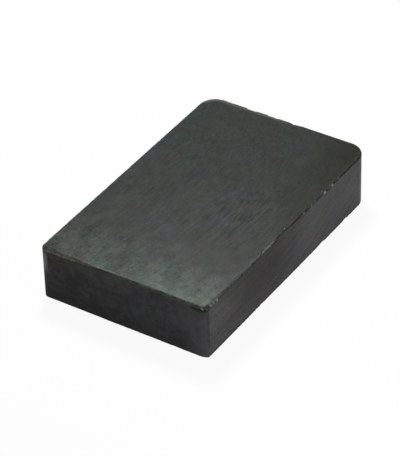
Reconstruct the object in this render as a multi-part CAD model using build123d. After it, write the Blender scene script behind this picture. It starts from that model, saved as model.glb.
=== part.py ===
from build123d import *
from math import asin, cos, pi, sin, sqrt
from typing import NamedTuple
import os

# Ferrite block magnet: pressed in a die, sintered as one piece, then ground flat.
# X runs along the length, Y across the width and Z through the thickness, which is
# the direction of magnetisation. The lower pole face lies on Z = 0, and the origin is
# at its middle. The near end is at -X, and the near side at -Y.

# Overall size, in millimetres
length = 40.0
width = 25.0
thickness = 8.0

# Corners in plan. Three are rounded whole. The near one keeps only part of its pressed
# radius, because grinding the near side has cut it off at a crisp upright arris.
far_corner_radius = 2.5
left_corner_radius = 0.7
near_corner_radius = 2.2
near_corner_cut = 0.9
near_arris_radius = 0.2

# Worn break round both pole faces
pole_edge_break = 0.15


class Chip(NamedTuple):
    """A shell-shaped flake that is missing from an edge."""

    along: float  # from the corner where the edge starts to the middle of the flake
    length: float  # along the edge
    depth: float  # below the worn edge


# Upper edge of the near side, from the near corner
near_side_chips = [
    Chip(along=1.2, length=0.8, depth=0.10),
    Chip(along=2.1, length=0.8, depth=0.13),
    Chip(along=4.3, length=1.2, depth=0.07),
    Chip(along=14.2, length=2.8, depth=0.11),
    Chip(along=15.7, length=1.0, depth=0.15),
    Chip(along=18.2, length=3.6, depth=0.13),
    Chip(along=22.9, length=1.0, depth=0.09),
    Chip(along=24.5, length=0.9, depth=0.09),
    Chip(along=26.3, length=1.6, depth=0.09),
    Chip(along=28.1, length=1.0, depth=0.12),
    Chip(along=30.0, length=1.0, depth=0.11),
    Chip(along=32.0, length=1.4, depth=0.09),
]

# Upper edge of the near end, from the near corner
near_end_chips = [
    Chip(along=4.2, length=1.8, depth=0.08),
    Chip(along=6.7, length=0.9, depth=0.14),
    Chip(along=10.8, length=1.5, depth=0.07),
]

# Upper edge of the far end, from the near side
far_end_chips = [
    Chip(along=11.3, length=2.0, depth=0.12),
    Chip(along=14.6, length=2.4, depth=0.10),
    Chip(along=18.1, length=2.0, depth=0.13),
]

# Lower edge of the near side, from the near corner
near_foot_chips = [
    Chip(along=12.8, length=0.9, depth=0.09),
    Chip(along=27.8, length=1.5, depth=0.14),
    Chip(along=33.8, length=1.3, depth=0.13),
]

# Upright near arris, from the upper pole face
near_upright_chips = [
    Chip(along=1.2, length=0.7, depth=0.08),
    Chip(along=2.5, length=0.8, depth=0.11),
    Chip(along=4.1, length=0.8, depth=0.09),
    Chip(along=6.0, length=0.7, depth=0.08),
]

# Small flakes in the near end, in a row from the near side, just under the upper edge
end_flakes = [
    Chip(along=0.5, length=1.0, depth=0.28),
    Chip(along=1.2, length=1.1, depth=0.18),
    Chip(along=1.9, length=0.9, depth=0.12),
]
end_flakes_below_top = 0.38

# Bite out of the near upper corner itself
corner_bite_width = 2.0
corner_bite_depth = 0.34

# The upper edge of the near end is rubbed down towards the left corner
rubbed_edge_length = 8.0
rubbed_edge_depth = 0.28


def ball_radius(opening, depth):
    """Radius of the ball whose cap has this width and depth."""
    return (opening**2 / 4 + depth**2) / (2 * depth)


def scoop(surface_point, outward, opening, depth):
    """Ball that sinks by depth below a point, along the outward direction."""
    radius = ball_radius(opening, depth)
    centre = surface_point + outward.normalized() * (radius - depth)
    return Pos(centre) * Sphere(radius)


def edge_scoops(chips, sharp_start, run, outward, wear):
    """Cutters for the chips of one edge, whose worn face lies below its sharp line."""
    worn_start = sharp_start - outward.normalized() * wear
    return [
        scoop(worn_start + run * chip.along, outward, chip.length, chip.depth)
        for chip in chips
    ]


def near_arris_angle():
    """How far round the near corner's radius the cut falls, from the near end face."""
    return asin(1 - near_corner_cut / near_corner_radius)


def near_arris_point():
    """Top of the sharp upright arris at the near corner."""
    setback = near_corner_radius * (1 - cos(near_arris_angle()))
    return Vector(setback - length / 2, -width / 2, thickness)


def nearest_corner(plan, x, y):
    return plan.vertices().sort_by_distance((x, y, 0))[0]


def block_plan():
    """Outline of the block: three rounded corners, and the cut-off near one."""
    plan = Rectangle(length, width)
    for x_side, y_side, radius in [
        (1, -1, far_corner_radius),
        (1, 1, far_corner_radius),
        (-1, 1, left_corner_radius),
    ]:
        corner = nearest_corner(plan, x_side * length / 2, y_side * width / 2)
        plan = fillet(corner, radius)

    # The pressed blank reached further out at the near side, before that side was ground
    blank = Pos(0, -near_corner_cut / 2) * Rectangle(length, width + near_corner_cut)
    blank_corner = nearest_corner(blank, -length / 2, -width / 2 - near_corner_cut)
    plan = plan & fillet(blank_corner, near_corner_radius)
    arris = near_arris_point()
    return fillet(nearest_corner(plan, arris.X, arris.Y), near_arris_radius)


def block():
    """Plain block with the worn break round both pole faces."""
    solid = extrude(block_plan(), thickness)
    pole_faces = solid.faces().filter_by(Axis.Z)
    pole_edges = [edge for face in pole_faces for edge in face.edges()]
    return chamfer(pole_edges, pole_edge_break)


def chip_cutters():
    """Every flake that is missing from the block."""
    toward_far, toward_left, up = Vector(1, 0, 0), Vector(0, 1, 0), Vector(0, 0, 1)
    near_top = Vector(-length / 2, -width / 2, thickness)
    far_top = near_top + toward_far * length
    near_foot = near_top - up * thickness
    break_wear = pole_edge_break / sqrt(2)

    cutters = edge_scoops(
        near_side_chips, near_top, toward_far, up - toward_left, break_wear
    )
    cutters += edge_scoops(
        near_end_chips, near_top, toward_left, up - toward_far, break_wear
    )
    cutters += edge_scoops(
        far_end_chips, far_top, toward_left, up + toward_far, break_wear
    )
    cutters += edge_scoops(
        near_foot_chips, near_foot, toward_far, -up - toward_left, break_wear
    )

    # The arris looks out halfway between the ground side and the end of the radius
    angle = near_arris_angle()
    radius_outward = toward_far * -cos(angle) - toward_left * sin(angle)
    arris_outward = radius_outward - toward_left
    half_turn = (pi / 2 - angle) / 2
    arris_wear = near_arris_radius * (1 / cos(half_turn) - 1)
    arris_top = near_arris_point()
    cutters += edge_scoops(
        near_upright_chips, arris_top, -up, arris_outward, arris_wear
    )

    flake_line = near_top - up * end_flakes_below_top
    cutters += edge_scoops(end_flakes, flake_line, toward_left, -toward_far, wear=0)

    corner_outward = arris_outward.normalized() + up
    worn_corner = arris_top - corner_outward.normalized() * pole_edge_break
    cutters.append(
        scoop(worn_corner, corner_outward, corner_bite_width, corner_bite_depth)
    )

    # Half of this wide shallow scoop lies beyond the left corner
    left_top = near_top + toward_left * width
    edge_outward = up - toward_far
    rubbed_edge = left_top - edge_outward.normalized() * break_wear
    cutters.append(
        scoop(rubbed_edge, edge_outward, 2 * rubbed_edge_length, rubbed_edge_depth)
    )
    return cutters


ferrite_block = block() - chip_cutters()

os.makedirs("parts", exist_ok=True)
export_step(ferrite_block, "parts/ferrite_block.step")
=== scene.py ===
import math
from typing import NamedTuple

import bpy
import numpy as np
from mathutils import Matrix, Vector


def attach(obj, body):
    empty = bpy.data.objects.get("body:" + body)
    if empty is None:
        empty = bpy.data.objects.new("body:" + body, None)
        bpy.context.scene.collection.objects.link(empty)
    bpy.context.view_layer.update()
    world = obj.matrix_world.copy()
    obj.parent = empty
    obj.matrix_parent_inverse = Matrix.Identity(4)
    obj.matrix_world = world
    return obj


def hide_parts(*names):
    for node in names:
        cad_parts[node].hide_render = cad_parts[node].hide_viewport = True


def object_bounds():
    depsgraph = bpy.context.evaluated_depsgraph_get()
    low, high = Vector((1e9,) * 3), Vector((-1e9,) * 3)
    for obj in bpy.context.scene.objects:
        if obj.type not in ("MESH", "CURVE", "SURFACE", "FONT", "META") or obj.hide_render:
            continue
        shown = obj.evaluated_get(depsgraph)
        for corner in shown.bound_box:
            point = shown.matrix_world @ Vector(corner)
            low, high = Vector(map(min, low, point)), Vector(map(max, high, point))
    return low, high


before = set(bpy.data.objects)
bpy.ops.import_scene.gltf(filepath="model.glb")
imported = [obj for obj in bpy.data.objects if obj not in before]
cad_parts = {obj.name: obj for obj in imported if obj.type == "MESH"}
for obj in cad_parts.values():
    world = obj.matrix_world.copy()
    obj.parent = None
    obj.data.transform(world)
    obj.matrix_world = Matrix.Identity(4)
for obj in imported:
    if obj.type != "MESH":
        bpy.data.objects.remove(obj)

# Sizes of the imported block, in metres
cad_low, cad_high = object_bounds()
length, width, thickness = cad_high - cad_low
mm = 0.001

# Corner radii in plan. Grinding has cut the near corner's radius off at an upright arris.
far_corner_radius = 2.5 * mm
left_corner_radius = 0.7 * mm
near_corner_radius = 2.2 * mm
near_corner_cut = 0.9 * mm
near_arris_radius = 0.2 * mm

# Worn rounding round both pole faces
pole_edge_radius = 0.2 * mm

# Along every edge the mesh keeps this spacing over the width of the chips
edge_gap = 0.05 * mm
edge_band = 0.45 * mm


class Value:
    """A node's output that takes part in written-out maths, in a material or a geometry tree."""

    def __init__(self, nodes, socket):
        self.nodes = nodes
        self.socket = socket

    def maths(self, operation, first, second=0.0):
        node = self.nodes.add("ShaderNodeMath", {"operation": operation}, {0: first, 1: second})
        return self.nodes.output(node)

    def __add__(self, other):
        return self.maths("ADD", self, other)

    def __sub__(self, other):
        return self.maths("SUBTRACT", self, other)

    def __mul__(self, other):
        return self.maths("MULTIPLY", self, other)

    def __truediv__(self, other):
        return self.maths("DIVIDE", self, other)

    def __rsub__(self, other):
        return self.maths("SUBTRACT", other, self)

    def __neg__(self):
        return self.maths("MULTIPLY", self, -1.0)

    def __abs__(self):
        return self.maths("ABSOLUTE", self)

    __radd__ = __add__
    __rmul__ = __mul__

    def at_least(self, other):
        return self.maths("MAXIMUM", self, other)

    def at_most(self, other):
        return self.maths("MINIMUM", self, other)


class Nodes:
    """Adds nodes to one tree, and names those that the wear and the finish use most."""

    def __init__(self, tree):
        self.tree = tree

    def add(self, kind, settings=None, sockets=None):
        """One node: its settings first, then a number, a colour or a link for each socket."""
        node = self.tree.nodes.new(kind)
        for name, setting in (settings or {}).items():
            setattr(node, name, setting)
        for name, value in (sockets or {}).items():
            if isinstance(value, Value):
                self.tree.links.new(value.socket, node.inputs[name])
            else:
                node.inputs[name].default_value = value
        return node

    def output(self, node, name=0):
        return Value(self, node.outputs[name])

    def axes(self, vector):
        split = self.add("ShaderNodeSeparateXYZ", sockets={"Vector": vector})
        return [self.output(split, axis) for axis in "XYZ"]

    def vector(self, x, y, z):
        return self.output(self.add("ShaderNodeCombineXYZ", sockets={0: x, 1: y, 2: z}))

    def vector_maths(self, operation, first, second):
        node = self.add("ShaderNodeVectorMath", {"operation": operation}, {0: first, 1: second})
        return self.output(node)

    def scaled(self, vector, factor):
        node = self.add(
            "ShaderNodeVectorMath", {"operation": "SCALE"}, {"Vector": vector, "Scale": factor}
        )
        return self.output(node)

    def noise(self, vector, scale, detail=2.0, roughness=0.5):
        """Cloudy noise from 0 to 1."""
        sockets = {"Vector": vector, "Scale": scale, "Detail": detail, "Roughness": roughness}
        return self.output(self.add("ShaderNodeTexNoise", {"normalize": True}, sockets))

    def step(self, value, low, high):
        """0 below low and 1 above high, with a smooth rise between. It falls if low is above high."""
        if low > high:
            return 1.0 - self.step(value, high, low)
        settings = {"interpolation_type": "SMOOTHSTEP", "clamp": True}
        sockets = {"Value": value, "From Min": low, "From Max": high}
        return self.output(self.add("ShaderNodeMapRange", settings, sockets))

    def mix(self, factor, first, second):
        """Colour that goes from first to second."""
        first, second = [
            colour if isinstance(colour, Value) else (*colour, 1) for colour in (first, second)
        ]
        node = self.add("ShaderNodeMix", {"data_type": "RGBA"}, {0: factor, 6: first, 7: second})
        return self.output(node, 2)

    def tint(self, colour, factor):
        """Colour made brighter or darker by a factor."""
        return self.scaled(colour, factor)


# The block's mesh

def graded_lines(start, end, first_gap, growth, widest_gap):
    """Places from start to end, crowded towards both, for the lines of a grid."""
    gap, place, rows = first_gap, 0.0, []
    while gap < widest_gap:
        rows.append(place)
        place += gap
        if gap < edge_gap or place > edge_band:
            gap *= growth
    inner_start, inner_end = start + place, end - place
    count = max(2, round((inner_end - inner_start) / widest_gap) + 1)
    rows = np.array(rows)
    return np.concatenate(
        [start + rows, np.linspace(inner_start, inner_end, count), (end - rows)[::-1]]
    )


def plan_corners():
    """Side along X, side along Y and radius of each upright corner."""
    return [
        (-1, -1, near_arris_radius),
        (-1, 1, left_corner_radius),
        (1, -1, far_corner_radius),
        (1, 1, far_corner_radius),
    ]


def setback_at_near_corner(x, y):
    """How far the cut-off radius draws the near end back, fading out along the length."""
    arc_start = near_corner_radius - near_corner_cut - width / 2
    run = np.clip(arc_start - y, 0, None)
    setback = near_corner_radius - np.sqrt(near_corner_radius**2 - run**2)
    fade = np.clip(1 - (x + length / 2) / (2 * near_corner_radius), 0, 1)
    return setback * fade


def bend_to_plan(x, y):
    """Bends a rectangle's grid to the rounded plan. Also gives each place's distance from the edge."""
    inset = np.minimum(length / 2 - np.abs(x), width / 2 - np.abs(y))
    bent_x, bent_y = x.copy(), y.copy()
    for x_side, y_side, radius in plan_corners():
        u = (x * x_side - (length / 2 - radius)) / radius
        v = (y * y_side - (width / 2 - radius)) / radius
        inside = (u > 0) & (v > 0)
        u, v = u[inside], v[inside]
        disc_u = u * np.sqrt(1 - v**2 / 2)
        disc_v = v * np.sqrt(1 - u**2 / 2)
        bent_x[inside] = x_side * (length / 2 - radius + radius * disc_u)
        bent_y[inside] = y_side * (width / 2 - radius + radius * disc_v)
        inset[inside] = radius * (1 - np.hypot(disc_u, disc_v))
    bent_x += setback_at_near_corner(bent_x, bent_y)
    return bent_x, bent_y, np.clip(inset, 0, None)


def edge_drop(inset):
    """How far a pole face's rounding lies below the face, at a distance from the outline."""
    reach = np.clip(pole_edge_radius - inset, 0, None)
    return pole_edge_radius - np.sqrt(pole_edge_radius**2 - reach**2)


def outline_indices(rows, columns):
    """Grid places along the outline of a face, once round."""
    lower = [(i, 0) for i in range(rows - 1)]
    right = [(rows - 1, j) for j in range(columns - 1)]
    upper = [(i, columns - 1) for i in range(rows - 1, 0, -1)]
    left = [(0, j) for j in range(columns - 1, 0, -1)]
    return np.array([i * columns + j for i, j in lower + right + upper + left])


def grid_faces(rows, columns, base, upward):
    """Quads of one grid of vertices, facing up or down."""
    i, j = np.meshgrid(np.arange(rows - 1), np.arange(columns - 1), indexing="ij")
    corner = base + i * columns + j
    quads = np.stack([corner, corner + columns, corner + columns + 1, corner + 1], axis=-1)
    quads = quads.reshape(-1, 4)
    return quads if upward else quads[:, ::-1]


def block_lines():
    """Grid lines along X and along Y, and the heights of the rows between the pole faces."""
    growth = 1.28
    face_gap, widest_x, widest_y = 0.012 * mm, 0.16 * mm, 0.28 * mm
    wall_gap, widest_z = 0.04 * mm, 0.4 * mm
    wall_foot, wall_top = pole_edge_radius, thickness - pole_edge_radius
    x_lines = graded_lines(-length / 2, length / 2, face_gap, growth, widest_x)
    y_lines = graded_lines(-width / 2, width / 2, face_gap, growth, widest_y)
    wall_rows = graded_lines(wall_foot, wall_top, wall_gap, growth, widest_z)[1:-1]
    return x_lines, y_lines, wall_rows


def wall_faces(outline, upper_base, wall_base, row_count):
    """Quads of the walls, from the lower face's outline up to the upper face's."""
    once_round = np.arange(len(outline))
    loops = [outline]
    loops += [wall_base + row * len(outline) + once_round for row in range(row_count)]
    loops.append(outline + upper_base)
    return [
        np.stack([below, np.roll(below, -1), np.roll(above, -1), above], axis=-1)
        for below, above in zip(loops, loops[1:])
    ]


def smooth_block_mesh():
    """Closed mesh of the unchipped block, with its lines crowded along every edge."""
    x_lines, y_lines, wall_rows = block_lines()
    rows, columns = len(x_lines), len(y_lines)
    grid_x, grid_y = np.meshgrid(x_lines, y_lines, indexing="ij")
    plan_x, plan_y, inset = bend_to_plan(grid_x.ravel(), grid_y.ravel())
    drop = edge_drop(inset)
    lower = np.stack([plan_x, plan_y, drop], axis=-1)
    upper = np.stack([plan_x, plan_y, thickness - drop], axis=-1)
    outline = outline_indices(rows, columns)
    walls = [
        np.stack([plan_x[outline], plan_y[outline], np.full(len(outline), z)], axis=-1)
        for z in wall_rows
    ]
    vertices = np.concatenate([lower, upper] + walls)
    faces = [
        grid_faces(rows, columns, 0, upward=False),
        grid_faces(rows, columns, len(lower), upward=True),
    ]
    faces += wall_faces(outline, len(lower), len(lower) + len(upper), len(wall_rows))

    mesh = bpy.data.meshes.new("magnet_block")
    mesh.from_pydata(vertices.tolist(), [], np.concatenate(faces).tolist())
    from_edge = [inset, inset]
    from_edge += [np.full(len(outline), min(z, thickness - z)) for z in wall_rows]
    attribute = mesh.attributes.new("from_edge", "FLOAT", "POINT")
    attribute.data.foreach_set("value", np.concatenate(from_edge) / mm)
    return mesh


def open_wear_tree():
    """Geometry tree with its named inputs."""
    tree = bpy.data.node_groups.new("Wear and chips", "GeometryNodeTree")
    inputs = [
        ("Geometry", "NodeSocketGeometry", None),
        ("Chipped Solid", "NodeSocketObject", None),
        ("Finish", "NodeSocketMaterial", None),
        ("Chip Grain", "NodeSocketFloat", 0.035 * mm),
        ("Nick Spacing", "NodeSocketFloat", 0.55 * mm),
        ("Nick Share", "NodeSocketFloat", 0.40),
        ("Nick Reach", "NodeSocketFloat", 0.20 * mm),
        ("Nick Depth", "NodeSocketFloat", 0.05 * mm),
        ("Edge Waviness", "NodeSocketFloat", 0.03 * mm),
        ("Pressed Unevenness", "NodeSocketFloat", 0.04 * mm),
        ("Seed", "NodeSocketInt", 7),
    ]
    for name, kind, default in inputs:
        socket = tree.interface.new_socket(name=name, in_out="INPUT", socket_type=kind)
        if default is not None:
            socket.default_value = default
    tree.interface.new_socket(name="Geometry", in_out="OUTPUT", socket_type="NodeSocketGeometry")
    return tree


def joined_solid(n, setting):
    """The chipped solid, with its loose triangles joined."""
    solid_info = n.add("GeometryNodeObjectInfo", sockets={"Object": setting("Chipped Solid")})
    joined = n.add(
        "GeometryNodeMergeByDistance",
        sockets={"Geometry": n.output(solid_info, "Geometry"), "Distance": 0.002 * mm},
    )
    return n.output(joined)


def nick_places(n, setting, solid):
    """Points scattered along the solid's sharp edges."""
    edge_angle = n.output(n.add("GeometryNodeInputMeshEdgeAngle"), "Unsigned Angle")
    sharp = n.add(
        "FunctionNodeCompare",
        {"data_type": "FLOAT", "operation": "GREATER_THAN"},
        {0: edge_angle, 1: math.radians(25)},
    )
    arrises = n.add(
        "GeometryNodeMeshToCurve", sockets={"Mesh": solid, "Selection": n.output(sharp)}
    )
    points = n.add(
        "GeometryNodeCurveToPoints",
        {"mode": "LENGTH"},
        {"Curve": n.output(arrises), "Length": setting("Nick Spacing")},
    )
    left_out = n.add(
        "FunctionNodeRandomValue",
        {"data_type": "BOOLEAN"},
        {"Probability": 1.0 - setting("Nick Share"), "Seed": setting("Seed")},
    )
    kept = n.add(
        "GeometryNodeDeleteGeometry",
        {"domain": "POINT"},
        {"Geometry": n.output(points), "Selection": n.output(left_out, 3)},
    )
    return n.output(kept)


def nearest(n, target, element):
    """The nearest place on the target, and how far it is."""
    node = n.add("GeometryNodeProximity", {"target_element": element}, {0: target})
    return n.output(node, "Position"), n.output(node, "Distance")


def worn_inward(n, setting, in_mm, normal, broken, nicked):
    """How far wear takes the surface back: grain in the breaks, nicks, wavy edges, pressed ends."""
    from_edge = n.add(
        "GeometryNodeInputNamedAttribute", {"data_type": "FLOAT"}, {"Name": "from_edge"}
    )
    near_edge = n.step(n.output(from_edge), 0.35, 0.0)
    wavy = near_edge * n.noise(in_mm, 0.7, detail=4.0, roughness=0.6)
    on_end = n.step(abs(n.axes(normal)[0]), 0.8, 0.98)
    return (
        broken * setting("Chip Grain") * n.noise(in_mm, 3.5, detail=5.0, roughness=0.65)
        + nicked * setting("Nick Depth")
        + wavy * setting("Edge Waviness")
        + on_end * setting("Pressed Unevenness") * n.noise(in_mm, 0.25, detail=3.0)
    )


def finish_geometry(n, setting, offset, attributes):
    """Stores what the finish reads, moves the surface, and gives it its material."""
    geometry = setting("Geometry")
    for name, value in attributes:
        node = n.add(
            "GeometryNodeStoreNamedAttribute",
            {"data_type": "FLOAT", "domain": "POINT"},
            {"Geometry": geometry, "Name": name, "Value": value},
        )
        geometry = n.output(node)
    moved = n.add("GeometryNodeSetPosition", sockets={"Geometry": geometry, "Offset": offset})
    smooth = n.add(
        "GeometryNodeSetShadeSmooth", sockets={"Geometry": n.output(moved), "Shade Smooth": True}
    )
    whole = n.add("GeometryNodeRealizeInstances", sockets={"Geometry": n.output(smooth)})
    finished = n.add(
        "GeometryNodeSetMaterial",
        sockets={"Geometry": n.output(whole), "Material": setting("Finish")},
    )
    n.add("NodeGroupOutput", sockets={"Geometry": n.output(finished)})


def wear_tree():
    """Geometry nodes that break the smooth block's edges as the solid's are, and wear them."""
    tree = open_wear_tree()
    n = Nodes(tree)
    given = n.add("NodeGroupInput")

    def setting(name):
        return n.output(given, name)

    solid = joined_solid(n, setting)
    position = n.output(n.add("GeometryNodeInputPosition"))
    normal = n.output(n.add("GeometryNodeInputNormal"), "Normal")
    in_mm = n.scaled(position, 1 / mm)

    # Chips: wherever the solid lies clearly below the smooth block, the mesh goes to the solid
    solid_place, chip_depth = nearest(n, solid, "FACES")
    chipped = n.step(chip_depth, 0.03 * mm, 0.05 * mm)

    # The edge that is rubbed down towards the left corner is smooth, not broken
    x, y, _ = n.axes(in_mm)
    from_near_end = x + length / 2 / mm
    from_left_side = width / 2 / mm - y
    rubbed_down = n.step(from_near_end, 1.5, 1.0) * n.step(from_left_side, 10.0, 8.5)
    kept = 1.0 - rubbed_down
    reached = chipped * kept + n.step(chip_depth, 0.0, 0.01 * mm) * rubbed_down
    to_solid = n.scaled(n.vector_maths("SUBTRACT", solid_place, position), reached)

    # Small nicks along the sharp edges
    nick_distance = nearest(n, nick_places(n, setting, solid), "POINTS")[1]
    nick_size = setting("Nick Reach") * (0.35 + n.noise(in_mm, 0.9) * 1.3)
    nicked = n.step(nick_distance / nick_size, 1.0, 0.35) * kept
    broken = (chipped * kept).at_least(nicked * 0.35)

    inward = worn_inward(n, setting, in_mm, normal, broken, nicked)
    offset = n.vector_maths("ADD", to_solid, n.scaled(normal, -inward))
    chip_rim = n.step(chip_depth, 0.02 * mm, 0.035 * mm) * n.step(chip_depth, 0.09 * mm, 0.05 * mm)
    finish_geometry(n, setting, offset, [("broken", broken), ("chip_rim", chip_rim)])
    return tree


def make_magnet(finish):
    """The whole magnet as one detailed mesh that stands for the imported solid."""
    magnet = bpy.data.objects.new("magnet_block", smooth_block_mesh())
    bpy.context.scene.collection.objects.link(magnet)
    tree = wear_tree()
    wear = magnet.modifiers.new("Wear and chips", "NODES")
    wear.node_group = tree
    identifiers = {
        item.name: item.identifier
        for item in tree.interface.items_tree
        if item.in_out == "INPUT"
    }
    wear[identifiers["Chipped Solid"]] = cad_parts["ferrite_block"]
    wear[identifiers["Finish"]] = finish
    depsgraph = bpy.context.evaluated_depsgraph_get()
    mesh = bpy.data.meshes.new_from_object(
        magnet.evaluated_get(depsgraph), preserve_all_data_layers=True, depsgraph=depsgraph
    )
    magnet.modifiers.remove(wear)
    magnet.data = mesh
    return magnet


# Finish of the ferrite, placed in millimetres from the block's own faces

# Base colours, linear
pole_grey = (0.0300, 0.0342, 0.0306)
worn_green = (0.0312, 0.0414, 0.0322)
side_grey = (0.0350, 0.0346, 0.0346)
pressed_violet = (0.0214, 0.0210, 0.0236)
pressed_brown = (0.0221, 0.0216, 0.0217)
# Rubbed wear with painted light, for the near corner's cut radius
rubbed_and_lit_grey = (0.052, 0.052, 0.056)
# Painted sheen and highlights on the rubbed edge and the rims
painted_sheen_grey = (0.096, 0.099, 0.085)
# Painted reflection on the left corner
left_reflection_grey = (0.19, 0.195, 0.195)
fresh_grey = (0.070, 0.070, 0.066)
# Painted glints on breaks
painted_glint_grey = (0.22, 0.22, 0.20)
olive_stain = (0.0175, 0.0160, 0.0085)
brown_stain = (0.0130, 0.0108, 0.0098)
green_stain = (0.0240, 0.0285, 0.0240)
warm_stain = (0.0310, 0.0280, 0.0190)
# Dark of pits and marks, and painted shade along the foot and in the hollow
dirt_and_shade_dark = (0.010, 0.010, 0.007)


class Surface(NamedTuple):
    """Where a point of the magnet lies, and which face it belongs to."""

    position: Value
    x: Value
    y: Value
    height: Value
    below_top: Value
    from_near_end: Value
    from_far_end: Value
    from_near_side: Value
    from_left_side: Value
    normal_z: Value
    on_pole: Value
    off_pole: Value
    on_end: Value
    ground: Value
    on_near_end: Value
    rubbed_tilt: Value
    from_edge: Value
    broken: Value
    chip_rim: Value


def read_surface(n):
    place = n.add("ShaderNodeTexCoord")
    position = n.scaled(n.output(place, "Object"), 1 / mm)
    x, y, height = n.axes(position)
    from_near_end = x + length / 2 / mm
    from_left_side = width / 2 / mm - y
    normal_x, _, normal_z = n.axes(n.output(place, "Normal"))

    # The edge that is rubbed down towards the left corner looks as the pole face does
    rubbed_down = n.step(from_near_end, 1.5, 1.0) * n.step(from_left_side, 10.5, 8.5)
    rubbed_down = rubbed_down * n.step(normal_z, 0.20, 0.45)
    on_pole = n.step(abs(normal_z), 0.55, 0.85).at_least(rubbed_down)
    off_pole = 1.0 - on_pole
    on_end = n.step(abs(normal_x), 0.45, 0.75) * (1.0 - rubbed_down)
    from_edge, broken, chip_rim = [
        n.output(n.add("ShaderNodeAttribute", {"attribute_name": name}), "Fac")
        for name in ("from_edge", "broken", "chip_rim")
    ]
    return Surface(
        position=position,
        x=x,
        y=y,
        height=height,
        below_top=thickness / mm - height,
        from_near_end=from_near_end,
        from_far_end=length / 2 / mm - x,
        from_near_side=y + width / 2 / mm,
        from_left_side=from_left_side,
        normal_z=normal_z,
        on_pole=on_pole,
        off_pole=off_pole,
        on_end=on_end,
        ground=1.0 - on_end,
        on_near_end=n.step(from_near_end, 1.0, 0.6) * off_pole,
        rubbed_tilt=rubbed_down * n.step(normal_z, 0.9995, 0.985),
        from_edge=from_edge,
        broken=broken,
        chip_rim=chip_rim,
    )


def window(n, value, middle, half_width, blur):
    """1 within half_width of the middle, and 0 beyond the blur round it."""
    return n.step(abs(value - middle), half_width + blur, half_width)


def around(n, spot, near_end, near_side, inner, outer):
    """1 within the inner distance of a place in plan, and 0 beyond the outer one."""
    offset = n.vector(spot.from_near_end - near_end, spot.from_near_side - near_side, 0.0)
    distance = n.output(n.add("ShaderNodeVectorMath", {"operation": "LENGTH"}, {0: offset}), 1)
    return n.step(distance, outer, inner)


def blotches(n, vector, per_mm, softness):
    """Uneven patches, fine ones on coarse ones, from 0 to 1."""
    patches = n.noise(vector, per_mm, detail=5.0, roughness=0.78)
    return n.step(patches, 0.5 - softness, 0.5 + softness)


class Texture(NamedTuple):
    """Patterns that several parts of the finish share, each from 0 to 1."""

    fine_lines: Value
    main_lines: Value
    broad_lines: Value
    clouds: Value
    mottle: Value
    speckle: Value
    grain: Value
    uneven: Value
    near_end_wear: Value


def grinding_lines(n, spot):
    """Fine, main and broad lines in long arcs, as a cup wheel leaves them."""
    along = 0.04 + spot.on_pole * 0.035
    arc_y = spot.y + (spot.x * 0.04 - spot.x * spot.x * 0.004) * spot.on_pole
    past_near_part = (spot.from_near_end - 10.0).at_least(0.0)
    arc_z = spot.height - past_near_part * past_near_part * 0.008

    def lines(per_mm, detail, on_side):
        stretched = n.vector(spot.x * along, arc_y, arc_z * on_side)
        return n.noise(stretched, per_mm, detail=detail, roughness=0.6)

    return lines(5.0, 1.0, 0.60), lines(2.6, 2.0, 1.15), lines(0.5, 2.0, 1.0)


def read_texture(n, spot):
    fine_lines, main_lines, broad_lines = grinding_lines(n, spot)
    clouds = n.noise(spot.position, 0.16, detail=3.0, roughness=0.55)
    near_end_wear = n.step(spot.from_near_end + (clouds - 0.5) * 8.0, 11.0, 5.0) * spot.on_pole
    return Texture(
        fine_lines=fine_lines,
        main_lines=main_lines,
        broad_lines=broad_lines,
        clouds=clouds,
        mottle=n.noise(spot.position, 0.9, detail=4.0, roughness=0.65),
        speckle=n.noise(spot.position, 1.2, detail=1.0, roughness=0.7),
        grain=n.noise(spot.position, 4.0, detail=2.0, roughness=0.7),
        uneven=blotches(n, spot.position, 0.40, 0.16),
        near_end_wear=near_end_wear,
    )


# Ground faces and pressed ends

def ground_shade(n, spot, texture):
    """How light the ground faces are, from their lines, grain and uneven patches."""
    # Lines are plainest over two patches of the upper face, and on the long sides
    deep_patch = around(n, spot, 18.3, 6.0, 2.5, 8.5)
    soft_patch = around(n, spot, 5.3, 16.2, 2.0, 7.0)
    line_strength = 0.60 + deep_patch * 0.75 + soft_patch * 0.40 + spot.off_pole * 1.5
    brushed = spot.on_pole * n.step(spot.from_near_end, 8.0, 17.0)
    scored = n.step(texture.main_lines, 0.44, 0.34) * (deep_patch * 0.16 + spot.off_pole * 0.05)
    lines = (
        (texture.main_lines - 0.5) * line_strength * (1.0 - spot.off_pole * 0.75)
        + (texture.fine_lines - 0.5) * line_strength * (1.0 + brushed * 0.35)
        + (texture.broad_lines - 0.5) * (0.25 - spot.off_pole * 0.20)
        - scored
    )

    wear = texture.near_end_wear
    calmer = 1.0 - n.step(spot.from_near_end, 14.0, 30.0) * 0.4
    patches = (
        (texture.grain - 0.5) * (0.8 + spot.off_pole * 3.2 + wear * 0.9)
        + (texture.speckle - 0.5) * (0.55 - spot.off_pole * 0.45 + wear * 0.5) * calmer
        + (texture.uneven - 0.5) * (0.26 - spot.off_pole * 0.18 + wear * 0.34) * calmer
    )
    return (1.0 + lines + patches).at_least(0.2)


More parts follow.
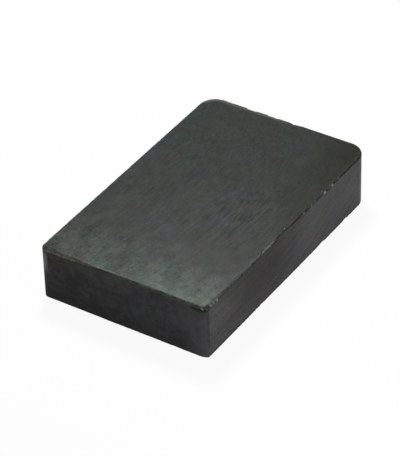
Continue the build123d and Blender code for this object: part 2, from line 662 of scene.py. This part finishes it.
def ground_colour(n, spot, texture, shade):
    """Pole faces and long sides. The upper face is painted lighter at its near end, a painted sheen,
    and is greener there.
    """
    near_front = n.step(spot.from_near_end + (texture.clouds - 0.5) * 6.0, 9.0, 0.5)
    by_near_side = n.step(spot.from_near_side + (texture.mottle - 0.5) * 4.0, 14.5, 2.5)
    by_left_side = n.step(spot.from_left_side, 11.5, 5.5)
    tick = around(n, spot, 1.0, 7.3, 0.3, 1.2)
    # Painted sheen: the upper face is lighter towards its near end, near side and left side, standing
    # in for the lamp's sheen; also a small light tick.
    painted_sheen = near_front * (0.26 + by_near_side * 0.54 + by_left_side * 0.14) + tick * 0.25
    # Painted shade: the far part of the long sides is darkened, least low down, to even out the lamp's
    # sheen there.
    far_side = n.step(spot.from_near_end, 17.0, 32.0) * spot.off_pole
    darker_far = far_side * (0.44 - n.step(spot.height, 6.5, 1.5) * 0.26)

    colour = n.mix(spot.on_pole, side_grey, pole_grey)
    worn = near_front * spot.on_pole * n.step(spot.from_left_side, 0.5, 7.5)
    colour = n.mix(worn, colour, worn_green)
    return n.tint(colour, shade * (1.0 + painted_sheen * spot.on_pole - darker_far))


def pressed_colour(n, spot, texture):
    """Pressed ends: matt and clouded, with painted light on their upper right and painted shade to the
    left and at the foot.
    """
    along_end = n.vector(spot.x, spot.y * 0.55, spot.height)
    # Painted light on the upper right of each end, towards the near side, and painted shade low down
    # to the left and along the foot.
    upper_right = n.step(spot.from_near_side, 12.5, 3.5) * n.step(spot.height, 1.0, 5.0)
    low_left = n.step(spot.from_near_side - spot.height * 1.2, 4.5, 18.5)
    low_left = low_left + n.step(spot.from_left_side, 8.5, 1.5) * 0.6
    cloud_light_and_shade = (
        0.40
        + blotches(n, along_end, 0.34, 0.14) * 1.15
        + (texture.speckle - 0.5) * 1.5
        + (texture.grain - 0.5) * 1.3
        + upper_right * 0.45
        - low_left * 0.50
        - n.step(spot.height, 3.5, 0.8) * 0.20
    ).at_least(0.05)
    colour = n.mix(n.step(spot.from_near_side, 17.5, 5.5), pressed_brown, pressed_violet)
    return n.tint(colour, cloud_light_and_shade)


def chroma_patches(n, spot, colour):
    """Faint green, rose and blue patches, as the ground surface shows."""
    for shift, amount, tint in (
        (3.0, 1.0, (0.92, 1.06, 0.95)),
        (17.0, 0.85, (1.10, 0.99, 0.93)),
        (29.0, 0.8, (0.92, 0.98, 1.14)),
    ):
        moved = n.vector_maths("ADD", spot.position, (shift, shift, shift))
        patch = n.step(n.noise(moved, 0.36, detail=3.0), 0.50, 0.62) * amount
        tinted = n.vector_maths("MULTIPLY", colour, tint)
        colour = n.mix(patch * (1.0 + spot.on_end), colour, tinted)
    return colour


# Stains

def stain_upper_face(n, spot, texture, colour):
    """Olive towards the far right corner and along the right edge."""
    from_corner = spot.from_far_end * 0.06 + spot.from_near_side * 0.09
    far_right = n.step(from_corner - (texture.clouds - 0.5) * 2.0, 1.125, -0.275)
    colour = n.mix(far_right * spot.on_pole * 0.75, colour, olive_stain)
    right_edge = n.step(spot.from_near_side + (texture.clouds - 0.5) * 8.0, 6.5, 2.0)
    right_edge = right_edge * n.step(spot.from_near_end, 16.0, 23.0)
    right_edge = right_edge * spot.on_pole * (0.35 + texture.uneven * 0.65)
    return n.mix(right_edge * 0.45, colour, olive_stain)


def brown_under_long_chip(n, spot, texture):
    """1 where the near side is stained brown, under the long chip in its upper edge."""
    by_chip = window(n, spot.from_near_end + (texture.clouds - 0.5) * 3.0, 13.5, 2.0, 11.5)
    on_near_side = n.step(spot.from_near_side, 1.5, 0.5) * spot.ground * spot.off_pole
    return by_chip * n.step(spot.height, -3.5, 6.0) * on_near_side


def stain_near_side(n, spot, brown, colour):
    """The brown stain, and a strip of it along the top by the near corner."""
    colour = n.mix(brown * 0.7, colour, brown_stain)
    strip = n.step(spot.below_top, 1.6, 0.6) * n.step(spot.from_near_end, 9.0, 5.5)
    strip = strip * n.step(spot.from_near_side, 0.5, 0.3)
    return n.mix(strip * 0.35, colour, brown_stain)


# Rubbed edges, with painted light, sheen and highlights

def paint_upright_edge_light(n, spot, texture, colour):
    """The near corner's cut radius is rubbed light and painted lighter. The upper half of the left
    corner carries a painted reflection.
    """
    # Rubbed wear and painted light on the near corner's cut radius, more of it low down.
    low_down = n.step(spot.height, 4.5, 1.0)
    near = n.step(spot.from_near_side, 4.0, 0.2) * n.step(spot.from_near_end, 20.0, 10.0)
    near = near * spot.on_end * (0.85 + (texture.speckle - 0.5) * 1.2 + low_down * 0.45)
    colour = n.mix(near.at_most(0.9), colour, n.tint(rubbed_and_lit_grey, 1.08 + low_down * 0.30))

    # Painted reflection of the floor on the upper half of the rounded left corner.
    upper_half = n.step(spot.height + (texture.mottle - 0.5) * 2.0, 3.6, 5.2)
    left = n.step(spot.from_left_side, 1.2, 0.6) * n.step(spot.from_near_end, 1.0, 0.5)
    return n.mix(left * upper_half * spot.off_pole * 0.9, colour, left_reflection_grey)


def paint_sheen_on_rubbed_edge(n, spot, texture, shade, colour):
    """The rubbed stretch is painted as light as the face, a painted sheen, with olive and warm stains
    under it.
    """
    # Painted sheen on the tilted rubbed stretch.
    colour = n.mix(spot.rubbed_tilt * 0.85, colour, n.tint(painted_sheen_grey, shade))
    along = spot.from_left_side.at_most(9.0)
    below_edge = spot.below_top - 0.54 + along * along * 0.0062
    olive = n.step(below_edge, -0.08, 0.02) * n.step(below_edge, 0.45, 0.20)
    olive = olive * spot.on_near_end * n.step(spot.from_left_side, 13.5, 8.5)
    colour = n.mix(olive * 0.85, colour, olive_stain)
    warm = n.step(below_edge, 1.5, 0.6) * n.step(texture.mottle, 0.46, 0.58)
    warm = warm * spot.on_near_end * n.step(spot.from_left_side, 17.5, 10.5)
    return n.mix(warm * 0.65, colour, warm_stain)


def paint_rim_highlights(n, spot, texture, colour):
    """Painted highlights on rims just inside the upper face's edges, and over the near end."""
    # Painted highlight on the near end's and near side's rims.
    inside_edge = n.step(spot.from_edge, 0.10, 0.20) * n.step(spot.from_edge, 0.55, 0.25)
    by_near_side = n.step(spot.from_near_side, 1.0, 0.5) * n.step(spot.from_near_end, 15.0, 12.0)
    near_rim_highlight = inside_edge * n.step(spot.from_near_end, 3.0, 1.0).at_least(by_near_side)
    near_rim_highlight = near_rim_highlight * spot.on_pole * n.step(texture.mottle, 0.40, 0.60)
    colour = n.tint(colour, 1.0 + near_rim_highlight * 0.50)

    # Painted glints along the left rim.
    left_rim_glints = n.step(spot.from_edge, 0.45, 0.15) * n.step(spot.from_left_side, 0.7, 0.5)
    left_rim_glints = left_rim_glints * n.step(spot.from_near_end, 14.0, 6.0) * spot.on_pole
    colour = n.mix(left_rim_glints * n.step(texture.grain, 0.40, 0.55) * 0.5, colour, painted_sheen_grey)

    # Painted highlight along the far end's rim.
    back_rim_highlight = n.step(spot.from_edge, 0.95, 0.30) * n.step(spot.from_far_end, 2.6, 1.4)
    back_rim_highlight = back_rim_highlight * n.step(spot.from_left_side, 15.5, 8.5)
    colour = n.mix(back_rim_highlight * 0.85, colour, painted_sheen_grey)

    # Painted reflection on the rounding over the near end.
    end_rim_reflection = n.step(spot.from_near_end, 0.8, 0.4) * n.step(spot.below_top, 0.40, 0.20)
    end_rim_reflection = end_rim_reflection * n.step(spot.from_near_side, 17.5, 12.5) * n.step(spot.normal_z, 0.98, 0.85)
    patchy = 0.35 + n.step(texture.mottle, 0.42, 0.58) * 0.35
    return n.mix(end_rim_reflection * patchy, colour, painted_sheen_grey)


# Pits, dark edges and painted shade

def dark_along_edges(n, spot, texture):
    """1 where the walls are darkened along the worn edges, thinner near the near corner and wider at
    the foot, where it is painted contact shadow.
    """
    # Along the foot the darkening is painted contact shadow.
    by_foot = n.step(spot.height, 1.0, 0.5)
    dark_edges = n.step(spot.from_edge - by_foot * 0.15, 0.30, 0.12) * spot.off_pole
    dark_reach = texture.mottle + (texture.grain - 0.5) + by_foot * 0.15
    dark_edges = dark_edges * n.step(dark_reach, 0.36, 0.58)
    dark_edges = dark_edges * (1.0 - n.step(spot.from_near_end, 15.0, 11.0) * spot.ground * 0.55)
    return dark_edges * (1.0 - n.step(spot.from_near_side, 15.5, 9.5) * spot.on_end * 0.90)


def darken_with_dirt_and_shade(n, spot, texture, dark_edges, colour):
    """Pits, dark marks along the edges, a painted contact shadow along the foot, the dark near arris
    and one dark spot.
    """
    pits = n.step(n.noise(spot.position, 2.2, detail=1.0), 0.70, 0.76) * spot.ground
    pits = pits * (1.0 - n.step(spot.from_near_end, 6.0, 4.0) * spot.on_pole)
    # Painted contact shadow along the foot.
    foot_shadow = n.step(spot.height, 0.34, 0.14) * spot.off_pole * spot.ground
    arris_line = around(n, spot, 0.45, 0.05, 0.10, 0.24) * n.step(spot.height, 1.8, 2.6)
    arris_line = arris_line * n.step(texture.grain, 0.42, 0.52)
    dark_spot = around(n, spot, 3.0, 9.5, 0.1, 0.35) * spot.on_pole
    for place, amount in (
        (pits, 0.45),
        (dark_edges, 0.75),
        (foot_shadow, 0.75),
        (arris_line, 0.85),
        (dark_spot, 0.6),
    ):
        colour = n.mix(place * amount, colour, dirt_and_shade_dark)
    return colour


# Breaks, with painted shade and painted glints

def hollow_under_corner(n, spot, wavy_depth):
    """1 in the hollow that the flakes under the near corner have left."""
    across = window(n, spot.from_near_side, 1.15, 0.95, 0.35)
    return across * window(n, wavy_depth, 0.40, 0.18, 0.22) * spot.on_near_end


def colour_hollow(n, spot, hollow, wavy_depth, colour):
    """Painted shade in the hollow, with a lighter floor, a green stain under it and a painted glint on
    a sliver.
    """
    # Painted shade in the hollow.
    colour = n.mix(hollow * 0.90, colour, dirt_and_shade_dark)
    bottom = window(n, spot.from_near_side, 1.5, 0.55, 0.35)
    bottom = bottom * window(n, spot.below_top, 0.38, 0.05, 0.09)
    colour = n.mix(bottom * spot.on_near_end * 0.8, colour, fresh_grey)
    green = window(n, spot.from_near_side, 1.2, 0.7, 0.6) * window(n, wavy_depth, 1.3, 0.4, 0.5)
    colour = n.mix(green * spot.on_near_end * 0.5, colour, green_stain)
    leaning = spot.from_near_side + (spot.below_top - 0.4) * 0.8
    # Painted glint on a sliver in the hollow.
    sliver = window(n, leaning, 0.75, 0.08, 0.10) * window(n, spot.below_top, 0.40, 0.12, 0.08)
    return n.mix(sliver * spot.on_near_end, colour, painted_glint_grey)


def crumb_glints(n, spot, colour):
    """Painted glints on small breaks along the near side's upper edge, by their distance from the near
    end.
    """
    for place, amount in (
        (1.2, 0.7),
        (1.8, 0.7),
        (2.5, 1.0),
        (23.4, 0.4),
        (25.3, 0.4),
        (28.7, 1.0),
        (30.6, 0.8),
    ):
        crumb = window(n, spot.from_near_end, place, 0.12, 0.14)
        crumb = crumb * n.step(spot.from_near_side, 0.45, 0.30)
        crumb = crumb * window(n, spot.below_top, 0.20, 0.09, 0.10)
        colour = n.mix(crumb * amount, colour, painted_glint_grey)
    return colour


def paint_near_side_rim_highlight(n, spot, texture, colour):
    """Painted highlight on the rim of the near side, towards the near corner."""
    side_rim_sheen = n.step(spot.from_edge, 0.32, 0.16) * n.step(spot.below_top, 0.30, 0.20)
    side_rim_sheen = side_rim_sheen * n.step(spot.from_near_side, 0.5, 0.3)
    side_rim_sheen = side_rim_sheen * n.step(spot.from_near_end, 16.0, 12.0)
    return n.mix(side_rim_sheen * n.step(texture.grain, 0.38, 0.60) * 0.6, colour, painted_sheen_grey)


def fresh_breaks(n, spot, texture, colour):
    """Chips and nicks, and their rims, take the grey of new breaks, with painted glints over the long
    chip, by the near corner and among the small chips.
    """
    # Painted glints on the breaks.
    long_chip = window(n, spot.from_near_end, 14.1, 2.3, 0.5) * n.step(spot.below_top, 0.26, 0.14)
    long_chip = long_chip * n.step(texture.grain, 0.36, 0.50)
    near_corner = n.step(spot.from_near_end, 3.2, 2.2) * n.step(spot.from_near_side, 4.0, 2.0)
    near_corner = near_corner * n.step(texture.grain, 0.50, 0.57)
    small_chips = window(n, spot.from_near_end, 29.0, 4.0, 1.0)
    small_chips = small_chips * n.step(texture.grain, 0.48, 0.54)
    glint = (long_chip + near_corner * 0.7 + small_chips * 0.5).at_most(1.0)
    glint = glint * n.step(spot.below_top, 0.30, 0.15)
    break_and_glint = n.tint(fresh_grey, 0.5 + glint * 2.3 + (texture.grain - 0.5) * 0.6)
    shown = spot.broken * (0.15 + glint * 0.85) + spot.chip_rim * 0.15
    return n.mix(shown.at_most(1.0), colour, break_and_glint)


# Gloss and relief

def ferrite_roughness(n, spot, texture, brown, dark_edges, hollow):
    """Satin on the ground faces, matt on the pressed ends, along the edges and in the breaks."""
    wear = texture.near_end_wear
    away_from_corner = n.step(spot.from_near_end, 6.0, 10.0) * 0.12
    by_left_side = n.step(spot.from_left_side, 14.5, 8.5) * 0.25
    rough_edge = n.step(spot.from_edge + away_from_corner.at_least(by_left_side), 0.50, 0.22)
    on_ground = (
        0.31
        + spot.off_pole * 0.19
        + (texture.main_lines - 0.5) * 0.06
        + (texture.mottle - 0.5) * (0.07 + wear * 0.08)
        + (texture.uneven - 0.5) * (0.012 + wear * 0.014)
        + brown * 0.22
        + rough_edge * (1.0 - spot.rubbed_tilt) * 0.52
        + spot.rubbed_tilt * 0.28
    )
    on_pressed = 0.62 + (texture.mottle - 0.5) * 0.30 + dark_edges * 0.3 + hollow * 0.35
    roughness = on_ground * spot.ground + on_pressed * spot.on_end
    return roughness * (1.0 - spot.broken) + spot.broken * 0.75


def ferrite_relief(n, spot, texture):
    """Bump of the lines, the pressed ends and the grain of the breaks."""
    lines = (texture.main_lines * 0.5 + texture.fine_lines * 0.3) * (3.0 - spot.on_pole * 2.0)
    relief = (
        lines * spot.ground * (1.0 - spot.broken)
        + (texture.mottle * 1.4 + texture.grain * 0.4) * spot.on_end
        + spot.broken * texture.grain * 1.5
    )
    sockets = {"Strength": 0.4, "Distance": 0.006 * mm, "Height": relief}
    return n.output(n.add("ShaderNodeBump", sockets=sockets))


def ferrite_colour(n, spot, texture, brown, dark_edges, hollow, wavy_depth):
    """Base colour, from the clean faces through stains, rubbed edges, painted light and shade to dark
    marks and breaks.
    """
    shade = ground_shade(n, spot, texture)
    on_ground = ground_colour(n, spot, texture, shade)
    colour = n.mix(spot.on_end, on_ground, pressed_colour(n, spot, texture))
    colour = chroma_patches(n, spot, colour)
    colour = stain_upper_face(n, spot, texture, colour)
    colour = stain_near_side(n, spot, brown, colour)
    colour = paint_upright_edge_light(n, spot, texture, colour)
    colour = paint_sheen_on_rubbed_edge(n, spot, texture, shade, colour)
    colour = darken_with_dirt_and_shade(n, spot, texture, dark_edges, colour)
    colour = paint_rim_highlights(n, spot, texture, colour)
    colour = colour_hollow(n, spot, hollow, wavy_depth, colour)
    colour = crumb_glints(n, spot, colour)
    colour = paint_near_side_rim_highlight(n, spot, texture, colour)
    return fresh_breaks(n, spot, texture, colour)


def ferrite_finish():
    """Sintered ferrite: ground pole faces and long sides, pressed ends, broken edges."""
    material = bpy.data.materials.new("ground_and_pressed_ferrite")
    material.use_nodes = True
    material.node_tree.nodes.clear()
    n = Nodes(material.node_tree)
    spot = read_surface(n)
    texture = read_texture(n, spot)
    brown = brown_under_long_chip(n, spot, texture)
    dark_edges = dark_along_edges(n, spot, texture)
    wavy_depth = spot.below_top - (texture.mottle - 0.5) * 0.6
    hollow = hollow_under_corner(n, spot, wavy_depth)
    shader = n.add(
        "ShaderNodeBsdfPrincipled",
        sockets={
            "Base Color": ferrite_colour(n, spot, texture, brown, dark_edges, hollow, wavy_depth),
            "Roughness": ferrite_roughness(n, spot, texture, brown, dark_edges, hollow),
            "Specular IOR Level": 0.25,
            "Normal": ferrite_relief(n, spot, texture),
        },
    )
    n.add("ShaderNodeOutputMaterial", sockets={"Surface": n.output(shader)})
    return material


# Stage, camera and light

def seen_by(n, straight, mirrored):
    """How white the background is to the rays that show it, straight or in gloss and glass."""
    path = n.add("ShaderNodeLightPath")
    reflected = n.output(path, "Is Glossy Ray").at_least(n.output(path, "Is Transmission Ray"))
    return (n.output(path, "Is Camera Ray") * straight).at_least(reflected * mirrored)


def make_floor():
    """Wide pale floor, on which the shadow stays faint. It can't be seen from below."""
    half = 4.0
    seen_white, mirrored_white = 0.93, 0.55
    mesh = bpy.data.meshes.new("floor")
    corners = [(-half, -half, 0), (half, -half, 0), (half, half, 0), (-half, half, 0)]
    mesh.from_pydata(corners, [], [(0, 1, 2, 3)])
    floor = bpy.data.objects.new("floor", mesh)
    bpy.context.scene.collection.objects.link(floor)
    floor_material = bpy.data.materials.new("pale_floor")
    floor_material.use_nodes = True
    floor_material.node_tree.nodes.clear()
    n = Nodes(floor_material.node_tree)
    paper = n.add(
        "ShaderNodeBsdfDiffuse", sockets={"Color": (0.9, 0.9, 0.9, 1), "Roughness": 0.0}
    )
    white = n.add("ShaderNodeEmission", sockets={"Color": (1, 1, 1, 1), "Strength": 1.0})
    shown = n.add(
        "ShaderNodeMixShader",
        sockets={
            0: seen_by(n, seen_white, mirrored_white),
            1: n.output(paper),
            2: n.output(white),
        },
    )
    from_below = n.output(n.add("ShaderNodeNewGeometry"), "Backfacing")
    clear = n.add("ShaderNodeBsdfTransparent")
    mixed = n.add(
        "ShaderNodeMixShader", sockets={0: from_below, 1: n.output(shown), 2: n.output(clear)}
    )
    n.add("ShaderNodeOutputMaterial", sockets={"Surface": n.output(mixed)})
    floor.data.materials.append(floor_material)


def make_world():
    """White where it is seen, white low down in reflections, and a dim even light elsewhere."""
    world = bpy.data.worlds.new("studio")
    bpy.context.scene.world = world
    world.use_nodes = True
    world.node_tree.nodes.clear()
    n = Nodes(world.node_tree)
    height = n.axes(n.output(n.add("ShaderNodeTexCoord"), "Generated"))[2]
    white = seen_by(n, 1.0, n.step(height, 0.45, 0.15))
    dim = 0.10
    strength = dim * (1.0 - white) + white
    sky = n.add("ShaderNodeBackground", sockets={"Color": (1, 1, 1, 1), "Strength": strength})
    n.add("ShaderNodeOutputWorld", sockets={"Surface": n.output(sky)})


def add_softbox(name, place, aim, size_x, size_y, power):
    """Rectangular lamp at a place, turned towards its aim."""
    light = bpy.data.lights.new(name, "AREA")
    light.shape = "RECTANGLE"
    light.size = size_x
    light.size_y = size_y
    light.energy = power
    lamp = bpy.data.objects.new(name, light)
    lamp.location = place
    lamp.visible_camera = False
    lamp.rotation_mode = "QUATERNION"
    lamp.rotation_quaternion = (Vector(aim) - Vector(place)).to_track_quat("-Z", "Y")
    bpy.context.scene.collection.objects.link(lamp)


def light_block():
    """Even light from overhead, a small lamp for the upper face's sheen, and one by the near side."""
    block_middle = (0.0, 0.0, thickness / 2)
    sheen_aim = (-0.010, -0.005, thickness)
    add_softbox("overhead_box", (0.0, 0.0, 0.80), block_middle, 0.70, 0.70, 0.4)
    add_softbox("sheen_box", (0.050, 0.044, 0.137), sheen_aim, 0.03, 0.03, 0.20)
    add_softbox("right_box", (-0.03, -0.13, 0.05), block_middle, 0.06, 0.04, 0.085)


def add_camera():
    """Camera at the photograph's viewing angle, a little above the near corner."""
    azimuth = math.radians(56.557)
    elevation = math.radians(37.122)
    roll = math.radians(-1.584)
    distance = 0.35105
    focal_pixels = 2672.5
    image_width, image_height = 400, 457
    middle_right, middle_down = 9.30, 16.96

    back = Vector(
        (
            -math.sin(azimuth) * math.cos(elevation),
            -math.cos(azimuth) * math.cos(elevation),
            math.sin(elevation),
        )
    )
    right = (-back).cross(Vector((0, 0, 1))).normalized()
    up = right.cross(-back)
    rolled_right = right * math.cos(roll) + up * math.sin(roll)
    rolled_up = up * math.cos(roll) - right * math.sin(roll)
    per_pixel = distance / focal_pixels
    aim = rolled_up * middle_down * per_pixel - rolled_right * middle_right * per_pixel
    place = back * distance
    away = (place - aim).normalized()
    side = (rolled_right - away * rolled_right.dot(away)).normalized()
    over = away.cross(side)

    data = bpy.data.cameras.new("photo_camera")
    data.sensor_fit = "AUTO"
    data.sensor_width = 36.0
    data.lens = focal_pixels / max(image_width, image_height) * data.sensor_width
    data.clip_start = 0.01
    camera = bpy.data.objects.new("photo_camera", data)
    turn = Matrix((side, over, away)).transposed().to_4x4()
    camera.matrix_world = Matrix.Translation(place) @ turn
    bpy.context.scene.collection.objects.link(camera)
    bpy.context.scene.camera = camera


magnet = make_magnet(ferrite_finish())
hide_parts("ferrite_block")
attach(magnet, "root")

make_floor()
make_world()
light_block()
add_camera()
bpy.context.scene.view_settings.view_transform = "Standard"
